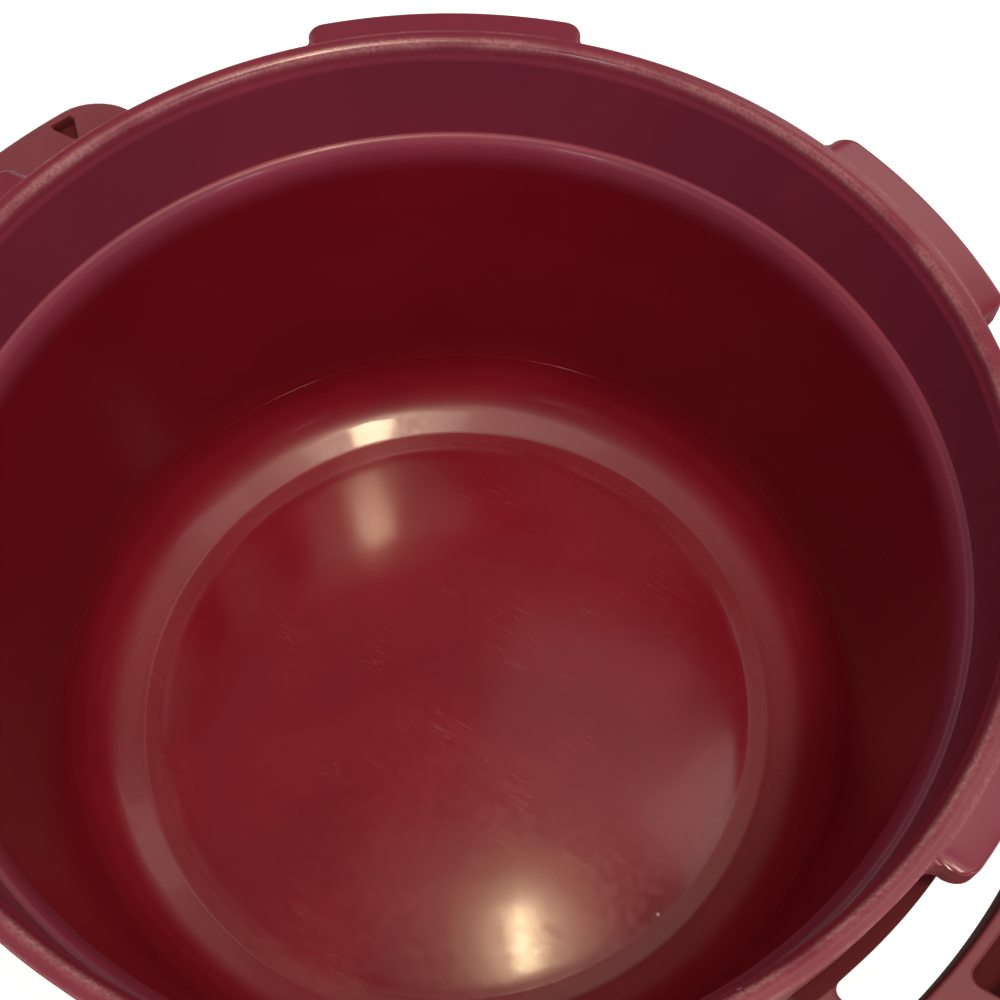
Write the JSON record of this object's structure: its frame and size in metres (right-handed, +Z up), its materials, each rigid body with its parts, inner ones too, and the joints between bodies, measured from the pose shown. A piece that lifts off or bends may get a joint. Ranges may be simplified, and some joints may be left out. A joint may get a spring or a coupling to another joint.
{
  "type": "pressure pot",
  "caption": "Round moulded pressure pot with turn-lock lugs and looped side handles, beside its domed lid with vent regulator, pressure pin and sprung latch.",
  "frame": {"origin": "centre of the pot's base, on the surface it stands on", "axes": "+Z up the pot's axis, +X to the plain handle, the lid lies at -Y"},
  "size_m": [0.25, 0.5748, 0.116],
  "materials": {
    "pot_plastic": "satin moulded plastic, lightly worn",
    "handle_plastic": "satin moulded plastic",
    "lid_plastic": "satin moulded plastic",
    "silicone": "soft matt silicone",
    "red_silicone": "soft matt silicone",
    "steel": "turned stainless steel",
    "dark_plastic": "fine textured plastic",
    "signal_red": "moulded plastic"
  },
  "bodies": {
    "pot": {"pot_shell": "pot_plastic", "pot_handle_right": "handle_plastic", "pot_handle_left": "handle_plastic"},
    "seal": {"seal_ring": "silicone"},
    "lid": {"lid_shell": "lid_plastic", "lid_grip_right": "lid_plastic", "lid_grip_left": "lid_plastic", "vent_stem": "steel", "vent_gasket": "silicone", "vent_nut": "steel", "vent_screen": "steel", "pin_bush": "silicone", "safety_plug": "red_silicone", "latch_cap": "dark_plastic", "latch_spring": "steel"},
    "regulator": {"regulator_weight": "steel", "regulator_cap": "dark_plastic", "weight_clip": "steel"},
    "pin": {"pressure_pin": "steel", "pin_cap": "signal_red"},
    "latch": {"latch_bolt": "steel", "latch_knob": "dark_plastic"}
  },
  "joints": [
    {"name": "lid_turnover", "type": "hinge", "parent": "pot", "child": "seal", "pos_m": [0, -0.18, 0.0791], "axis": [-1, 0, 0], "range_deg": [0, 180]},
    {"name": "lid_twist", "type": "hinge", "parent": "seal", "child": "lid", "pos_m": [0, -0.36, 0.02785], "axis": [0, 0, 1], "range_deg": [0, 30]},
    {"name": "regulator_lift", "type": "slide", "parent": "lid", "child": "regulator", "axis": [0, 0, 1], "range_m": [0, 0.003]},
    {"name": "pin_rise", "type": "slide", "parent": "lid", "child": "pin", "axis": [0, 0, 1], "range_m": [0, 0.006]},
    {"name": "latch_pull", "type": "slide", "parent": "lid", "child": "latch", "axis": [0, 0, -1], "range_m": [0, 0.0045], "stiffness_N_per_m": 400, "springref_m": -0.004, "deforming": ["latch_spring"]}
  ]
}
